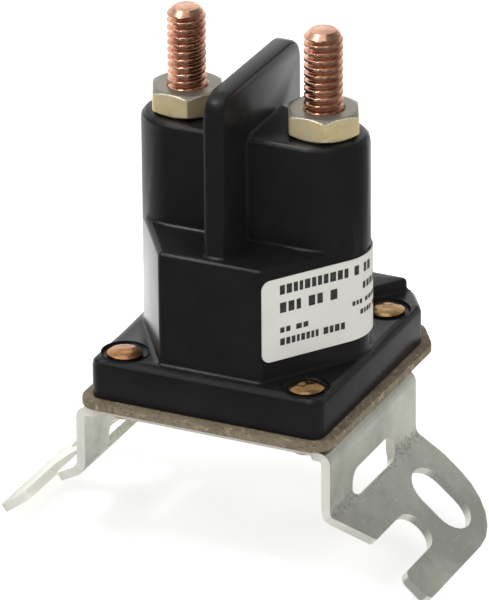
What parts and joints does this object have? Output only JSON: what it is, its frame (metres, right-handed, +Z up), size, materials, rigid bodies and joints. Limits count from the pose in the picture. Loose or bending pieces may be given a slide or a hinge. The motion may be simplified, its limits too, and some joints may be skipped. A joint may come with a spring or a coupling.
{
  "type": "starter relay",
  "caption": "Starter relay: black moulded housing with power studs, a barrier fin and a riveted, folded sheet bracket with splayed feet.",
  "frame": {"origin": "on the ground where the splayed feet stand, in the middle of the whole outline", "axes": "+Z up along the plunger's axis and the studs; X along the row of studs; -Y towards the side that the label starts on"},
  "size_m": [0.0767, 0.049, 0.0881],
  "materials": {
    "black_phenolic": "satin moulded thermoset",
    "gasket_fibre": "speckled brown fibre, cut edge",
    "zinc_plated_sheet": "zinc plated, fine scratches",
    "yellow_zinc": "yellow zinc plated",
    "copper": "plain copper",
    "brass": "brassy plated rivet",
    "white_label": "matte white label",
    "tinned_blade": "tinned",
    "plain_steel": "plain steel",
    "natural_nylon": "moulded nylon",
    "enamelled_wire": "enamelled copper wire",
    "spring_steel": "spring wire",
    "brown_laminate": "phenolic laminate"
  },
  "bodies": {
    "case": {"housing": "black_phenolic", "gasket": "gasket_fibre", "bracket": "zinc_plated_sheet", "label": "white_label", "rivet_front_left": "brass", "rivet_front_right": "brass", "rivet_back_left": "brass", "rivet_back_right": "brass", "stud_left": "copper", "stud_right": "copper", "nut_left": "yellow_zinc", "nut_right": "yellow_zinc", "coil_terminal_left": "tinned_blade", "coil_terminal_right": "tinned_blade", "coil_frame": "plain_steel", "bobbin": "natural_nylon", "coil_winding": "enamelled_wire", "pole_piece": "plain_steel", "return_spring": "spring_steel"},
    "plunger_group": {"plunger": "plain_steel", "plunger_stem": "plain_steel", "contact_spring": "spring_steel", "lower_insulator": "brown_laminate", "upper_insulator": "brown_laminate", "contact_bar": "copper", "retaining_clip": "spring_steel"}
  },
  "joints": [
    {"name": "plunger_slide", "type": "slide", "parent": "case", "child": "plunger_group", "axis": [0, 0, 1], "range_m": [0, 0.0024], "stiffness_N_per_m": 800, "springref_m": -0.003, "deforming": ["return_spring"]}
  ]
}
